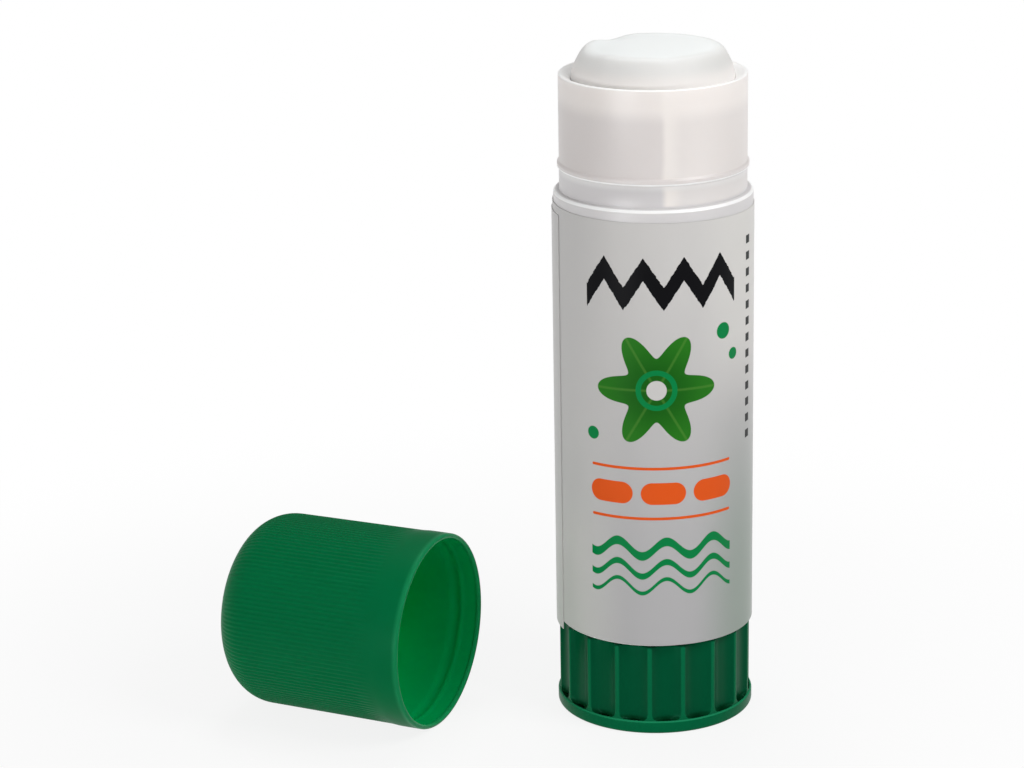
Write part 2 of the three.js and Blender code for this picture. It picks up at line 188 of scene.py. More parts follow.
class GlueSettings(bpy.types.PropertyGroup):
    radius: length("Radius", "Radius of the glue in the barrel", 12.05)
    foot: length("Foot", "Height of the glue's foot", box_height("glue_core", 0))
    top: length("Top", "Height of the glue's top", box_height("glue_core", 1))
    edge_radius: length("Edge radius", "Radius of the worn top face", 9.65)
    wear: length("Wear", "Depth of the uneven wear on the top", 0.3)
    sides: count("Sides", "Facets round the glue", 144, 24, 512)
    tone: colour("Colour", "White of the glue", 242, 245, 244)
    # Painted shade: a greyer white on the slope round the top, which gets less light than the top
    slope_shade_tone: colour("Slope", "Painted shade round the top", 221, 220, 218)
    # Painted shade on the right of the slope
    right_shade_tone: colour("Right slope", "Shaded white on the right", 196, 195, 191)
    foot_tone: colour("Side", "Warmer white of the glue's side", 229, 225, 222)
    cloud_tone: colour("Clouds", "Bright white of the faint clouds", 250, 252, 252)


class CapSettings(bpy.types.PropertyGroup):
    radius: length("Band radius", "Radius of the plain band at the mouth", 15.0)
    length: length("Length", "Length of the cap", 32.4)
    band: length("Band length", "Length of the plain band at the mouth", 4.9)
    corner: length("Corner radius", "Radius of the rounded closed end", 6.4)
    end_wall: length("End wall", "Thickness of the closed end", 1.4)
    ribs: count("Ribs", "Number of fine ribs", 132, 12, 240)
    rib_depth: length("Rib depth", "Depth of the grooves between the ribs", 0.12)
    lip_radius: length("Lip radius", "Inner radius of the rounded lip", 14.2)
    mouth_x: length("Mouth X", "Place of the mouth's middle, to the right", -32.5, lowest=-10.0)
    mouth_y: length("Mouth Y", "Place of the mouth's middle, to the back", -10.8, lowest=-10.0)
    turn: angle("Turn", "How far the mouth is turned to the front", 22)
    tone: colour("Colour", "Green of the cap", 0, 103, 58)
    # Painted light: a brighter, clearer green inside the cap, standing in for light coming through the wall
    inner_glow_tone: colour("Inside colour", "Clearer green of the cap's inside", 0, 164, 88)
    # Painted light: the brightest green, deep in the cap
    deep_glow_tone: colour("Deep colour", "Brightest green, deep in the cap", 0, 220, 118)
    # Painted highlight: a paler green on the rounded lip
    lip_sheen_tone: colour("Lip colour", "Paler green of the rounded lip", 30, 140, 88)


class StageSettings(bpy.types.PropertyGroup):
    distance: length("Camera distance", "How far the camera stands in front of the stick", 450.0)
    camera_height: length("Camera height", "Height of the camera", 191.1)
    camera_pitch: angle("Camera pitch", "How far the camera looks down", 17.28)
    camera_yaw: angle("Camera yaw", "How far the camera looks to the left", 2.73)
    camera_roll: angle("Camera roll", "How far the camera leans to the right", 1.01)
    lens: FloatProperty(name="Lens", description="Focal length in millimetres", default=109.5, min=1.0)
    floor: colour("Floor", "Pale floor", 233, 233, 233)


def settings_of(name, kind):
    return PointerProperty(type=kind, name=name, description=f"Sizes and looks of the {name.lower()}")


class GlueStickSettings(bpy.types.PropertyGroup):
    barrel: settings_of("Barrel", BarrelSettings)
    label: settings_of("Label", LabelSettings)
    knob: settings_of("Base knob", KnobSettings)
    glue: settings_of("Glue", GlueSettings)
    cap: settings_of("Cap", CapSettings)
    stage: settings_of("Stage", StageSettings)


# Modelling by hand


def stand_ready():
    """Leaves edit mode and deselects everything."""
    if bpy.context.mode != "OBJECT":
        bpy.ops.object.mode_set(mode="OBJECT")
    bpy.ops.object.select_all(action="DESELECT")


def name_piece(name):
    """Names the piece that was just added."""
    piece = bpy.context.object
    piece.name = piece.data.name = name
    return piece


def apply_transform():
    bpy.ops.object.transform_apply(location=True, rotation=True, scale=True)


def stand_piece(piece, rotation, place=(0, 0, 0)):
    """Turns and moves a whole piece, and comes back to edit mode."""
    bpy.ops.object.mode_set(mode="OBJECT")
    piece.rotation_euler = rotation
    piece.location = place
    apply_transform()
    bpy.ops.object.mode_set(mode="EDIT")


def open_mesh():
    """The mesh in edit mode, with its points ready to look up."""
    mesh = bmesh.from_edit_mesh(bpy.context.object.data)
    mesh.verts.ensure_lookup_table()
    return mesh


def select_all():
    bpy.ops.mesh.select_all(action="SELECT")


def select_none():
    bpy.ops.mesh.select_all(action="DESELECT")


def selected_points():
    mesh = open_mesh()
    return [point.index for point in mesh.verts if point.select]


def select_points(indices):
    select_none()
    mesh = open_mesh()
    for index in indices:
        mesh.verts[index].select = True
    mesh.select_flush(True)
    bmesh.update_edit_mesh(bpy.context.object.data)


def extrude_by(x, y, z):
    bpy.ops.mesh.extrude_region_move(TRANSFORM_OT_translate={"value": (x, y, z), "orient_type": "GLOBAL"})


def move_by(x, y, z, **options):
    bpy.ops.transform.translate(value=(x, y, z), orient_type="GLOBAL", **options)


def resize_about_axis(factor):
    bpy.ops.transform.resize(value=(factor, factor, 1), orient_type="GLOBAL", center_override=(0, 0, 0))


def draw_wall(name, sides, outline):
    """A wall about Z through points of radius and height: a circle at the first point, and an extruded and
    resized ring at each other. A radius of 0 closes the end to a pole. Gives the piece, in edit mode, and
    the points of each ring."""
    stand_ready()
    opening = outline[0] if outline[0][0] == 0 else None
    rings_outline = outline[1:] if opening else outline
    radius, height = rings_outline[0]
    bpy.ops.mesh.primitive_circle_add(vertices=sides, radius=radius, location=(0, 0, height), calc_uvs=False)
    piece = name_piece(name)
    apply_transform()
    bpy.ops.object.mode_set(mode="EDIT")
    bpy.ops.mesh.select_mode(type="VERT")
    select_all()
    rings = [selected_points()]
    for (last_radius, last_height), (radius, height) in zip(rings_outline, rings_outline[1:]):
        extrude_by(0, 0, height - last_height)
        if radius == 0:
            bpy.ops.mesh.merge(type="CENTER")
            continue
        resize_about_axis(radius / last_radius)
        rings.append(selected_points())
    if opening:
        select_points(rings[0])
        extrude_by(0, 0, opening[1] - rings_outline[0][1])
        bpy.ops.mesh.merge(type="CENTER")
    return piece, rings


def sort_points(indices, level_of):
    """Groups points by the level that their place gives."""
    mesh = open_mesh()
    groups = {}
    for index in indices:
        groups.setdefault(level_of(mesh.verts[index].co), []).append(index)
    return groups.items()


def shape_ring(ring, depth_at):
    """Presses the points of one ring in by the depth for their azimuth, all of a like depth at a time."""
    def factor_of(place):
        return round(1 - depth_at(math.atan2(place.x, -place.y)) / math.hypot(place.x, place.y), 6)

    for factor, indices in sort_points(ring, factor_of):
        if factor != 1:
            select_points(indices)
            resize_about_axis(factor)


def finish_piece(piece, body, nodes, material, smooth_to=35):
    """Merges doubles, turns the faces outwards, smooths, and hangs the piece on the frame."""
    select_all()
    bpy.ops.mesh.remove_doubles(threshold=1e-7)
    bpy.ops.mesh.normals_make_consistent(inside=False)
    bpy.ops.object.mode_set(mode="OBJECT")
    bpy.ops.object.shade_smooth_by_angle(angle=math.radians(smooth_to))
    piece.data.materials.append(material)
    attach(piece, body)
    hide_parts(*nodes)


def arc(middle_radius, middle_height, across, up, start, end, steps):
    """Points of radius and height on an elliptic arc, between two angles in degrees."""
    points = []
    for k in range(steps + 1):
        turn = math.radians(start + (end - start) * k / steps)
        points.append((middle_radius + across * math.cos(turn), middle_height + up * math.sin(turn)))
    return points


def steps_from(radius, height, *steps):
    """Points of radius and height, each so many millimetres out and up from this one."""
    return [(radius + out * MM, height + up * MM) for out, up in steps]


# Materials


def feed(node, values):
    """Links or sets a node's inputs."""
    for key, value in values.items():
        if isinstance(value, bpy.types.NodeSocket):
            node.id_data.links.new(value, node.inputs[key])
        else:
            node.inputs[key].default_value = value


def add_node(kind, values, tree=None, **settings):
    """Adds a node to the tree that its inputs come from, or to the tree that is given."""
    tree = tree or next(value.id_data for value in values.values() if isinstance(value, bpy.types.NodeSocket))
    node = tree.nodes.new(kind)
    for key, value in settings.items():
        setattr(node, key, value)
    feed(node, values)
    row, column = divmod(len(tree.nodes), 12)
    node.location = (column * 190 - 1200, -row * 260)
    return node


def work_out(operation, *terms, clamp=False):
    """A Math node's value, from sockets and numbers. The product of two masks is where both are."""
    return add_node("ShaderNodeMath", dict(enumerate(terms)), operation=operation, use_clamp=clamp).outputs["Value"]


plus, minus, times, times_plus = (
    functools.partial(work_out, operation) for operation in ("ADD", "SUBTRACT", "MULTIPLY", "MULTIPLY_ADD")
)


def either(first, *others):
    """The highest, and so where any of some masks is."""
    for other in others:
        first = work_out("MAXIMUM", first, other)
    return first


def from_middle(x, y):
    """How far a point is from where x and y are 0."""
    return work_out("SQRT", times_plus(x, x, times(y, y)))


def fade(value, low, high):
    """0 below low, 1 above high, and smooth between."""
    return add_node(
        "ShaderNodeMapRange", {"Value": value, "From Min": low, "From Max": high}, interpolation_type="SMOOTHSTEP"
    ).outputs["Result"]


def past(value, low, high):
    """1 below low, 0 above high, and smooth between."""
    return minus(1.0, fade(value, low, high))


def band(value, start, full, full_end, end):
    """1 from full to full_end, and smooth down to 0 at start and end."""
    return times(fade(value, start, full), past(value, full_end, end))


def over(value, limit, crispness=14.0):
    """A printed edge: 1 where the value is over the limit."""
    return times_plus(minus(value, limit), crispness, 0.5, clamp=True)


def noise(place, scale, detail):
    return add_node("ShaderNodeTexNoise", {"Vector": place, "Scale": scale, "Detail": detail}).outputs[0]


def split(vector):
    return add_node("ShaderNodeSeparateXYZ", {"Vector": vector}).outputs


def paint(shade, *coats):
    """Lays coats over a shade, each a share from 0 to 1 and a colour."""
    for share, tone in coats:
        shade = add_node("ShaderNodeMix", {0: share, 6: shade, 7: tone}, data_type="RGBA").outputs[2]
    return shade


def effect(name, inputs, outputs):
    """Turns a function that builds nodes into one that places them as a shader node group, made once. Inputs
    are given with their defaults and outputs with their kinds."""
    def make(build):
        tree = bpy.data.node_groups.new(name, "ShaderNodeTree")
        for label, default in inputs.items():
            kind = {float: "Float", tuple: "Color"}.get(type(default), "Vector")
            socket = tree.interface.new_socket(name=label, in_out="INPUT", socket_type="NodeSocket" + kind)
            if default is not None:
                socket.default_value = default
        for label, kind in outputs.items():
            tree.interface.new_socket(name=label, in_out="OUTPUT", socket_type="NodeSocket" + kind)
        entry, result = tree.nodes.new("NodeGroupInput"), tree.nodes.new("NodeGroupOutput")
        entry.location, result.location = (-1500, 0), (1300, 0)
        feed(result, build(entry.outputs))

    def wrap(build):
        def place(values):
            if name not in bpy.data.node_groups:
                make(build)
            return add_node("ShaderNodeGroup", values, node_tree=bpy.data.node_groups[name]).outputs
        return place
    return wrap


@effect(
    "Moulded skin",
    {"Place": None, "Colour": (0.8, 0.8, 0.8, 1), "Cloud": 0.06, "Cloud Size": 220.0, "Gloss": 0.35,
     "Gloss Change": 0.08, "Grain Size": 5200.0},
    {"Colour": "Color", "Roughness": "Float", "Height": "Float"},
)
def moulded(given):
    """Moulded plastic: faint cloudy tone, uneven gloss and a fine skin."""
    swing = minus(noise(given["Place"], given["Cloud Size"], 3.0), 0.5)
    level = times_plus(swing, given["Cloud"], 1.0)
    shade = add_node("ShaderNodeVectorMath", {0: given["Colour"], "Scale": level}, operation="SCALE")
    gloss = times_plus(swing, given["Gloss Change"], given["Gloss"], clamp=True)
    grain = noise(given["Place"], given["Grain Size"], 4.0)
    return {"Colour": shade.outputs["Vector"], "Roughness": gloss, "Height": grain}


@effect("Place round the stick", {"Place": None, "Radius": 15.0}, {"Across": "Float", "Up": "Float"})
def round_the_stick(given):
    """Where a point lies round the stick: millimetres along the surface from the front, and height."""
    parts = split(given["Place"])
    azimuth = work_out("ARCTAN2", parts["X"], times(parts["Y"], -1.0))
    return {"Across": times(azimuth, given["Radius"]), "Up": times(parts["Z"], 1000.0)}


PRINT_PLACE = {"Across": 0.0, "Up": 0.0, "Middle Across": 0.0, "Middle Up": 0.0}


@effect("Printed disc", {**PRINT_PLACE, "Radius": 1.0, "Inner Radius": 0.0}, {"Mask": "Float"})
def printed_disc(given):
    """A printed disc, or a ring where the inner radius isn't below 0, in millimetres."""
    far = from_middle(minus(given["Across"], given["Middle Across"]), minus(given["Up"], given["Middle Up"]))
    return {"Mask": times(over(given["Radius"], far), over(far, given["Inner Radius"]))}


@effect("Printed bar", {**PRINT_PLACE, "Half Length": 4.0, "Half Width": 1.0}, {"Mask": "Float"})
def printed_bar(given):
    """A printed bar with round ends, in millimetres."""
    x = work_out("ABSOLUTE", minus(given["Across"], given["Middle Across"]))
    y = minus(given["Up"], given["Middle Up"])
    return {"Mask": over(given["Half Width"], from_middle(y, either(minus(x, given["Half Length"]), 0.0)))}


def new_material(name):
    """An empty material, its Principled BSDF and the place of each point."""
    material = bpy.data.materials.new(name)
    material.use_nodes = True
    tree = material.node_tree
    tree.nodes.clear()
    shader = add_node("ShaderNodeBsdfPrincipled", {}, tree)
    shader.location = (1300, 0)
    add_node("ShaderNodeOutputMaterial", {"Surface": shader.outputs["BSDF"]}).location = (1600, 0)
    return material, shader, add_node("ShaderNodeTexCoord", {}, tree).outputs["Object"]


def end_material(shader, shade, gloss, height, strength, distance, plain):
    """Feeds the shader its colour, gloss and relief, and the plain values, which are the same all over."""
    relief = add_node("ShaderNodeBump", {"Height": height, "Strength": strength, "Distance": distance})
    feed(shader, {"Base Color": shade, "Roughness": gloss, "Normal": relief.outputs["Normal"], **plain})


def light_inside(weight, radius, millimetres):
    return {"Subsurface Weight": weight, "Subsurface Radius": radius, "Subsurface Scale": millimetres * MM}


def mould(shader, place, shade, gloss, skin, plain, bump=0.03):
    """Ends a moulded material with the skin's colour, gloss and relief."""
    made = moulded({"Place": place, "Colour": shade, "Gloss": gloss, **skin})
    end_material(shader, made["Colour"], made["Roughness"], made["Height"], bump, 0.05 * MM, plain)


def barrel_material(size):
    """Milky white plastic with painted light: warmer and brighter towards the rim, a soft painted reflection line up
    the neck with the neck lighter to its right, painted shade below the bead, painted light on the bead's underside,
    the shoulder and the foot, and painted highlight lines along the bead, shoulder, rim and lip.
    """
    material, shader, place = new_material("Milky barrel plastic")
    around = round_the_stick({"Place": place, "Radius": size.neck_radius / MM})
    up = around["Up"]
    foot, shoulder, bead, rim = (height / MM for height in (size.foot, size.shoulder, size.bead_height, size.rim))
    parts = split(place)
    radius = from_middle(parts["X"], parts["Y"])
    on_neck = times(
        past(radius, size.neck_radius + 0.03 * MM, size.neck_radius + 0.12 * MM),
        fade(up, shoulder, shoulder + 0.5),
    )
    # Painted reflection: a soft pale line up the front of the neck, and painted light on the neck to its right
    wobble = noise(place, 130.0, 2.0)
    across = times_plus(wobble, 1.6, minus(around["Across"], 0.8))
    sheen_line = times_plus(past(across, 2.0, 4.6), 0.42, 0.3)
    # Painted shade: the neck is painted greyer below the bead
    shade_below_bead = past(up, bead - 0.6, bead - 0.1)
    sheen_on_right = times(times(band(across, 0.9, 2.0, 18.0, 36.0), on_neck), times_plus(shade_below_bead, 0.15, sheen_line))
    # Painted light: the top of the neck is painted warmer and brighter, as light comes through it there
    rim_light_mask = fade(up, rim - 5.3, rim - 2.5)
    # Painted highlights on the rim's top and on the lip inside it, which also lift the shade by the glue
    crest = size.neck_radius - size.crest_width
    bore_lip_highlight = times(past(radius, crest - 0.15 * MM, crest), rim_light_mask)
    rim_highlight = times(fade(up, rim - 0.2, rim - 0.06), 0.8)
    shade = paint(
        size.tone,
        # Painted shade below the bead
        (times(shade_below_bead, 0.55), size.under_bead_shade_tone),
        # Painted reflection line and painted light to its right
        (sheen_on_right, size.neck_sheen_tone),
        # Painted light under the bead, then a painted highlight line along the bead
        (times(band(up, bead - 1.6, bead - 0.7, bead - 0.3, bead - 0.1), 0.5), size.edge_light_tone),
        (band(up, bead - 0.46, bead - 0.38, bead - 0.24, bead - 0.16), size.bright_line_tone),
        # Painted light on the shoulder, then a painted highlight line along it
        (times(band(up, shoulder - 3.0, shoulder - 2.2, shoulder + 0.05, shoulder + 0.25), 0.12), size.edge_light_tone),
        (band(up, shoulder - 0.55, shoulder - 0.43, shoulder - 0.16, shoulder - 0.04), size.bright_line_tone),
        # Painted light on the foot below the label
        (past(up, foot + 1.2, foot + 1.7), size.edge_light_tone),
        # Painted light near the rim
        (times(rim_light_mask, 0.75), size.rim_light_tone),
        # Painted highlights on the rim and on the lip inside it
        (either(rim_highlight, bore_lip_highlight), size.bright_line_tone),
    )
    skin = {"Cloud": 0.015, "Cloud Size": 180.0}
    mould(shader, place, shade, 0.36, skin, light_inside(0.35, (1.0, 0.95, 0.9), 1.5))
    return material


def label_material(look):
    """Glossy white film with a generic print: chevrons, a rosette with dots, pills, bars and waves."""
    material, shader, place = new_material("Printed label film")
    around = round_the_stick({"Place": place, "Radius": 15.0})
    across, up = around["Across"], around["Up"]

    def stamp(motif, middle_across, middle_up, values):
        return motif({
            "Across": across, "Up": up, "Middle Across": middle_across, "Middle Up": middle_up, **values,
        })["Mask"]

    def disc(middle_across, middle_up, radius, inner_radius=-1.0):
        return stamp(printed_disc, middle_across, middle_up, {"Radius": radius, "Inner Radius": inner_radius})

    def bar(middle_across, middle_up, half_length, half_width):
        return stamp(printed_bar, middle_across, middle_up, {"Half Length": half_length, "Half Width": half_width})

    def between(value, low, high):
        return times(over(value, low), over(high, value))

    def stroke_along(line, half_width):
        return over(half_width, work_out("ABSOLUTE", minus(up, line)), 12.0)

    # Bold chevrons, with a slightly uneven hand-cut edge
    uneven = times_plus(noise(place, 1500.0, 2.0), 0.7, -0.35)
    zigzag = work_out("PINGPONG", plus(across, 10.5), 3.0)
    chevrons = stroke_along(times_plus(zigzag, 1.5, plus(uneven, 68.3)), 1.75)
    chevrons = times(chevrons, between(across, -10.6, 13.6))

    # Rosette of six petals round a pale eye, with three dots beside it
    middle_across, middle_up = 0.4, 54.5
    x, y = minus(across, middle_across), minus(up, middle_up)
    far = from_middle(x, y)
    turn = times(work_out("ARCTAN2", y, x), 6.0)
    petals = times_plus(work_out("COSINE", turn), 2.1, 7.0)
    rosette = over(petals, far, 10.0)
    off_vein = times(work_out("ABSOLUTE", work_out("SINE", times(turn, 0.5))), far)
    vein = past(off_vein, 0.2, 0.9)
    ring = disc(middle_across, middle_up, 3.1, 2.3)
    eye = disc(middle_across, middle_up, 1.5)
    dots = either(disc(11.2, 62.5, 1.25), disc(13.3, 58.6, 0.9), disc(-9.6, 47.2, 1.0))

    # Pills between thin bars
    pills = either(*(bar(middle, 38.5, 1.7, 1.7) for middle in (-6.6, 1.4, 9.4)))
    thin = either(bar(1.4, 34.6, 11.0, 0.22), bar(1.4, 42.4, 11.0, 0.22))

    # Three waves, and a column of short dashes near the right-hand side
    wave = times(work_out("SINE", times(across, 0.85)), 1.15)
    waves = either(*(
        stroke_along(plus(wave, height), half_width)
        for height, half_width in ((29.8, 0.7), (26.6, 0.5), (23.9, 0.32))
    ))
    waves = times(waves, between(across, -10.0, 12.8))
    dashes = over(0.62, work_out("PINGPONG", up, 1.25), 10.0)
    dashes = times(times(dashes, between(across, 17.0, 18.3)), between(up, 44.0, 76.0))

    # Painted light and shade on the film: painted shade low down and high on the left, painted light high on the
    # right, and painted shade with a green reflection low on the right
    parts = split(place)
    sideways = work_out("DIVIDE", parts["X"], 15.0 * MM)
    # Painted light and shade on the right-hand side of the film
    light_and_shade_right = times(past(parts["Y"], -5.0 * MM, 4.0 * MM), fade(sideways, 0.35, 0.9))
    low = times(past(up, 20.0, 82.0), fade(sideways, -0.8, -0.2))
    shade_on_left = times(fade(up, 26.0, 40.0), past(sideways, -0.8, -0.33))
    petal_tone = paint(look.green, (fade(far, 2.0, 9.0), look.pale_green), (times(vein, 0.3), look.vein_green))
    shade = paint(
        look.tone,
        # Painted shade low down and high on the left
        (low, look.shaded_film_tone),
        (times(shade_on_left, 0.32), look.shaded_film_tone),
        # Painted light high on the right
        (times(times(light_and_shade_right, fade(up, 47.0, 64.0)), 0.7), look.lit_film_tone),
        # Painted shade and a painted green reflection low on the right
        (times(light_and_shade_right, past(up, 20.0, 56.0)), look.reflected_shade_tone),
        (either(dashes, chevrons), look.black),
        (rosette, petal_tone),
        (ring, look.bright_green),
        (eye, look.tone),
        (dots, look.bright_green),
        (either(pills, thin), look.orange),
        (waves, look.bright_green),
    )
    skin = {"Cloud": 0.02, "Cloud Size": 90.0, "Gloss Change": 0.05, "Grain Size": 2600.0}
    plain = {"Specular IOR Level": 0.07, "Coat Weight": 0.02, "Coat Roughness": 0.22}
    mould(shader, place, shade, 0.3, skin, plain, bump=0.04)
    return material


def knob_material(size):
    """Dark green plastic with painted light: a paler flange, painted highlights along the ridges and the flange's
    edge, and painted shade in the flutes' feet.
    """
    material, shader, place = new_material("Dark green knob plastic")
    parts = split(place)
    height, radius = parts["Z"], from_middle(parts["X"], parts["Y"])
    grip, ledge = size.grip_radius, size.flange_thickness
    # Painted light: the flange keeps a paler green, and the fluted grip above it is painted darker
    on_grip = fade(height, ledge + 0.02 * MM, ledge + 0.12 * MM)
    # Painted highlights along the ridges
    sheen_on_ridges = fade(radius, grip - 0.14 * MM, grip - 0.01 * MM)
    # Painted highlight on the flange's rounded upper edge
    at_edge = times(
        band(height, ledge - 0.24 * MM, ledge - 0.1 * MM, ledge + 0.02 * MM, ledge + 0.12 * MM),
        fade(radius, grip - 0.02 * MM, grip + 0.04 * MM),
    )
    # Painted shade in the flutes' feet, low on the grip
    flute_foot_shade = times(
        past(height, ledge + 0.15 * MM, ledge + 0.75 * MM),
        past(radius, grip - 0.05 * MM, grip + 0.01 * MM),
    )
    shade = paint(
        size.flange_light_tone,
        (on_grip, size.tone),
        (times(on_grip, sheen_on_ridges), size.ridge_sheen_tone),
        (at_edge, size.edge_light_tone),
        (flute_foot_shade, size.foot_tone),
    )
    plain = {"Specular IOR Level": 0.08, "Specular Tint": (0.25, 1.0, 0.7, 1.0)}
    mould(shader, place, shade, 0.36, {"Cloud": 0.08}, plain)
    return material


def inner_material():
    """Plain white plastic of the parts inside."""
    material, shader, place = new_material("Plain inner plastic")
    mould(shader, place, linear(226, 225, 220), 0.45, {"Cloud": 0.05}, light_inside(0.15, (1.0, 1.0, 1.0), 1.0))
    return material


def cap_material(size):
    """Green plastic, painted a brighter, clearer green inside and brightest deep in, standing in for light that
    comes through the thin wall, with a painted highlight on the rounded lip.
    """
    material, shader, place = new_material("Green cap plastic")
    own = add_node("ShaderNodeMapping", {
        "Vector": place, "Location": (size.mouth_x, size.mouth_y, size.radius),
        "Rotation": (0, -math.pi / 2, -size.turn),
    }, vector_type="TEXTURE").outputs["Vector"]
    parts = split(own)
    along, radius = parts["Z"], from_middle(parts["X"], parts["Y"])
    past_wall = either(minus(radius, size.radius - 0.2 * MM - size.corner), 0.0)
    past_end = either(minus(along, size.length - size.corner), 0.0)
    # Painted light: the inside is painted a brighter, clearer green, brightest deep in, for light coming through the
    # wall
    inside = past(from_middle(past_end, past_wall), size.corner - 0.41 * MM, size.corner - 0.25 * MM)
    glow_inside = paint(size.inner_glow_tone, (fade(along, 2.0 * MM, 24.0 * MM), size.deep_glow_tone))
    # Painted highlight on the rounded lip
    lip_sheen_mask = past(along, 0.3 * MM, 1.1 * MM)
    at_edge = past(along, 0.5 * MM, 1.2 * MM)
    shade = paint(size.tone, (inside, glow_inside), (times(lip_sheen_mask, 0.6), size.lip_sheen_tone))
    gloss = times_plus(inside, -0.15, times_plus(at_edge, -0.13, 0.46))
    plain = {"Specular IOR Level": 0.07, "Specular Tint": (0.3, 1.0, 0.7, 1.0)}
    plain.update(light_inside(0.3, (0.6, 1.0, 0.7), 1.2))
    mould(shader, place, shade, gloss, {"Cloud": 0.07}, plain, bump=0.05)
    return material


def glue_material(size):
    """White waxy glue: painted shade makes the slope round its worn top greyer, darker still on the right, with soft
    light inside and faint streaks of wear.
    """
    material, shader, place = new_material("Waxy glue")
    parts = split(place)
    height = parts["Z"]
    cloud, fine = noise(place, 260.0, 5.0), noise(place, 1700.0, 4.0)
    drawn_out = add_node("ShaderNodeMapping", {"Vector": place, "Rotation": (0, 0, 0.5), "Scale": (1, 7, 1)})
    streak = noise(drawn_out.outputs["Vector"], 160.0, 2.0)
    rim = size.top - 4.0 * MM
    # Painted shade on the slope round the top, darker still on the right
    shade_on_slope = fade(height, rim + 0.4 * MM, rim + 2.4 * MM)
    light_and_shade_right = times(shade_on_slope, fade(parts["X"], 2.0 * MM, 11.0 * MM))
    on_top = times(
        fade(height, rim + 2.3 * MM, rim + 3.4 * MM),
        past(from_middle(parts["X"], parts["Y"]), 8.4 * MM, 11.0 * MM),
    )
    shade = paint(
        size.foot_tone,
        (shade_on_slope, size.slope_shade_tone),
        (times(light_and_shade_right, 0.4), size.right_shade_tone),
        (on_top, size.tone),
        (times(cloud, 0.10), size.cloud_tone),
    )
    wear = times_plus(fine, 0.35, times_plus(streak, 0.6, cloud))
    plain = {"Specular IOR Level": 0.3, **light_inside(0.4, (1.0, 0.97, 0.93), 2.5)}
    end_material(shader, shade, times_plus(cloud, 0.2, 0.5), wear, 0.18, 0.12 * MM, plain)
    return material


# Pieces


class GLUESTICK_OT_barrel(bpy.types.Operator):
    """Model the barrel: foot, tube, shoulder, neck with its snap bead, rim, bore, web and keys"""

    bl_idname = "gluestick.barrel"
    bl_label = "Barrel"

    def execute(self, context):
        size = context.scene.glue_stick.barrel
        tube, neck, bore = size.tube_radius, size.neck_radius, size.bore_radius
        foot_bore = tube - 1.65 * MM
        tube_round, rim_round = 0.7 * MM, 0.22 * MM
        bead_foot = size.bead_height - size.bead_width / 2
        bead = ((0, 0), (0.3, 0.1), (0.85, 0.24), (0.97, 0.3), (1, 0.38), (1, 0.62), (0.96, 0.7), (0.8, 0.76),
                (0.3, 0.9), (0, 1))
        web_foot, web_top, web_hole = 17.6 * MM, 18.8 * MM, 4.2 * MM
        outline = [(foot_bore, size.foot), *steps_from(tube, size.foot, (-0.3, 0), (0, 0.3))]
        outline += arc(tube - tube_round, size.shoulder - tube_round, tube_round, tube_round, 0, 90, 8)
        outline += steps_from(neck, size.shoulder, (0.1, 0), (0.03, 0.03), (0, 0.12))
        outline += [(neck + size.bead_rise * out, bead_foot + size.bead_width * up) for out, up in bead]
        outline += arc(neck - rim_round, size.rim - rim_round, rim_round, rim_round, 0, 90, 6)
        outline += steps_from(neck - size.crest_width, size.rim, (0, 0), (-0.15, -0.06))
        outline += steps_from(size.lip_radius, size.rim, (0.2, -0.66), (0.05, -0.8), (0, -1.0), (0, -3.9))
        outline += steps_from(bore, size.rim, (0, -4.4))
        outline += [(bore, web_top), (web_hole, web_top), (web_hole, web_foot), (foot_bore, web_foot)]
        piece, rings = draw_wall("barrel_shell", size.sides, outline)
        select_points(rings[0] + rings[-1])
        bpy.ops.mesh.bridge_edge_loops()
        select_all()
        bpy.ops.mesh.normals_make_consistent(inside=False)

        # Two keys down the bore, which keep the carrier from turning
        key, key_sunk, key_middle = (0.45 * MM, 1.6 * MM, 75.8 * MM), 0.125 * MM, 56.5 * MM
        for side in (-1, 1):
            select_none()
            bpy.ops.mesh.primitive_cube_add(size=1, location=(0, 0, 0), calc_uvs=False)
            bpy.ops.transform.resize(value=key, center_override=(0, 0, 0))
            bpy.ops.mesh.bevel(offset=0.12 * MM, segments=2, affect="EDGES")
            bpy.ops.mesh.select_linked()
            move_by(side * (bore - key_sunk), 0, key_middle)
        finish_piece(piece, "barrel", ["barrel"], barrel_material(size))
        return {"FINISHED"}


